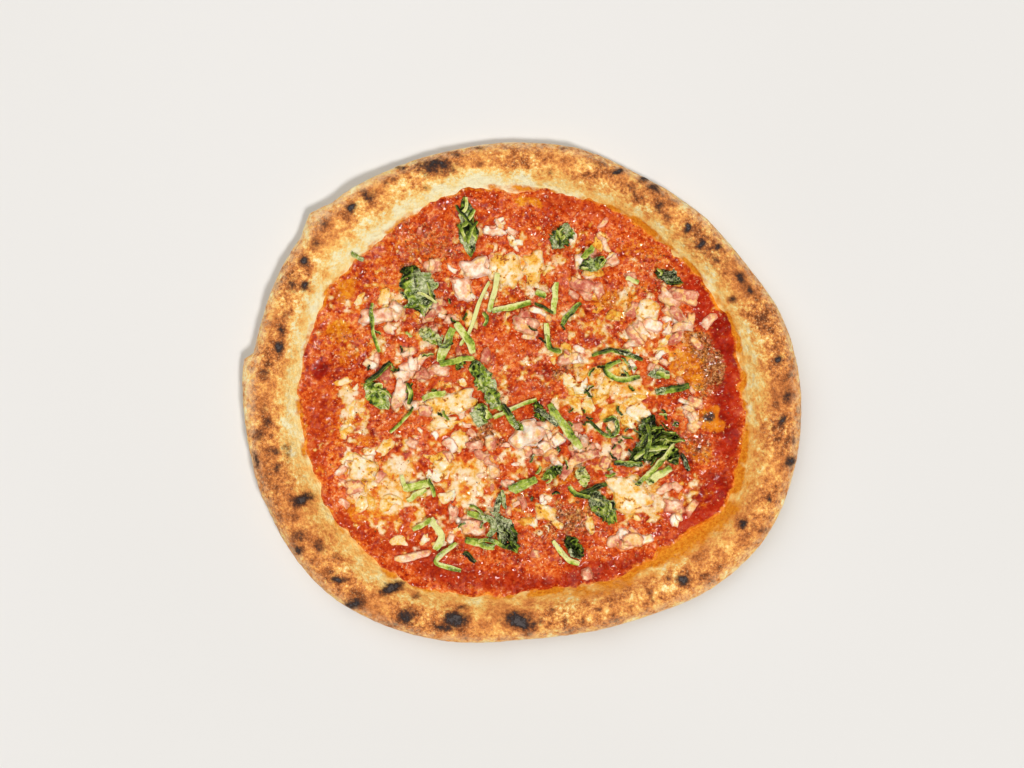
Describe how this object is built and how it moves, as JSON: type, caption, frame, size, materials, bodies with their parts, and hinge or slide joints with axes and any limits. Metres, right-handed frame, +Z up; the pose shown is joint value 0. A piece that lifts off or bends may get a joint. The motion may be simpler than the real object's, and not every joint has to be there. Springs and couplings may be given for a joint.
{
  "type": "margherita pizza with ham",
  "caption": "Round thin-crust pizza with tomato sauce, diced ham, melted cheese and wilted basil, its raised rim charred in spots. It lies flat on its base.",
  "frame": {"origin": "middle of the pizza's box in plan, at the level of its flat base", "axes": "+Z up, +X along the pizza's longest way across"},
  "size_m": [0.336, 0.3012, 0.024],
  "materials": {
    "crust": "baked dough: cream inside, golden to brown on the crown, with charred spots",
    "sauce": "wet tomato sauce under grated cheese",
    "cheese": "melted cheese, cream to yellow, browned in spots",
    "ham": "cooked ham, pale pink",
    "basil_leaf": "wilted leaf, dark green, dusted with cheese",
    "basil_shred": "cut leaf, pale to bright green"
  },
  "bodies": {
    "root": {"crust": "crust", "sauce": "sauce", "cheese_01": "cheese", "cheese_02": "cheese", "cheese_03": "cheese", "cheese_04": "cheese", "cheese_05": "cheese", "cheese_06": "cheese", "cheese_07": "cheese", "ham_01": "ham", "ham_02": "ham", "ham_03": "ham", "ham_04": "ham", "ham_05": "ham", "ham_06": "ham", "ham_07": "ham", "ham_08": "ham", "ham_09": "ham", "ham_10": "ham", "ham_11": "ham", "ham_12": "ham", "ham_13": "ham", "ham_strip_01": "ham", "basil_leaf_01": "basil_leaf", "basil_leaf_02": "basil_leaf", "basil_leaf_03": "basil_leaf", "basil_leaf_04": "basil_leaf", "basil_leaf_05": "basil_leaf", "basil_leaf_06": "basil_leaf", "basil_leaf_07": "basil_leaf", "basil_leaf_08": "basil_leaf", "basil_leaf_09": "basil_leaf", "basil_leaf_10": "basil_leaf", "basil_leaf_11": "basil_leaf", "basil_leaf_12": "basil_leaf", "basil_leaf_13": "basil_leaf", "basil_leaf_14": "basil_leaf", "basil_leaf_15": "basil_leaf", "basil_shred_01": "basil_shred", "basil_shred_02": "basil_shred", "basil_shred_03": "basil_shred", "basil_shred_04": "basil_shred", "basil_shred_05": "basil_shred", "basil_shred_06": "basil_shred", "basil_shred_07": "basil_shred", "basil_shred_08": "basil_shred", "basil_shred_09": "basil_shred", "basil_shred_10": "basil_shred", "basil_shred_11": "basil_shred", "basil_shred_12": "basil_shred", "basil_shred_13": "basil_shred", "basil_shred_14": "basil_shred", "basil_shred_15": "basil_shred", "basil_shred_16": "basil_shred", "basil_shred_17": "basil_shred", "basil_shred_18": "basil_shred", "basil_shred_19": "basil_shred", "basil_shred_20": "basil_shred", "basil_shred_21": "basil_shred", "basil_shred_22": "basil_shred"}
  },
  "joints": []
}
